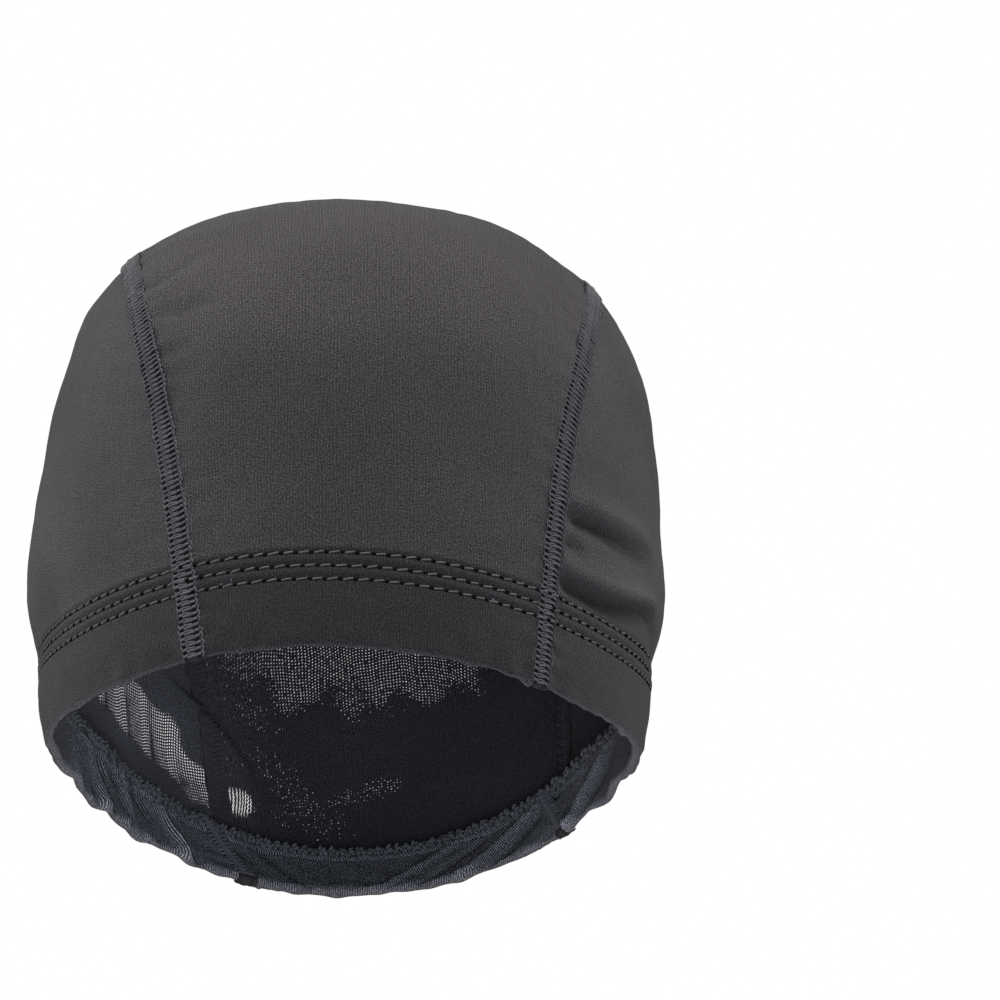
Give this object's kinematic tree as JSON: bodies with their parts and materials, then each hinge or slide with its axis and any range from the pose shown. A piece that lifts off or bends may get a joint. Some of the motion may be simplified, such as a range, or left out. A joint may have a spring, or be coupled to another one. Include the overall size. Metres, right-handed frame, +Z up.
{
  "type": "mesh wig cap",
  "caption": "Close-fitting stretch mesh wig cap with side panels, flat seams from brow to nape and a turned-up hem, in its worn form.",
  "frame": {"origin": "middle of the head opening, level with the mean height of the rim", "axes": "+Z up to the crown, -Y towards the brow, +X towards the wearer's left ear"},
  "size_m": [0.1569, 0.1966, 0.1441],
  "materials": {
    "mesh_knit": "matt black fine knitted mesh",
    "sewing_thread": "matt black spun thread"
  },
  "bodies": {
    "root": {"centre_panel": "mesh_knit", "left_panel": "mesh_knit", "right_panel": "mesh_knit", "left_seam": "sewing_thread", "right_seam": "sewing_thread"}
  },
  "joints": []
}
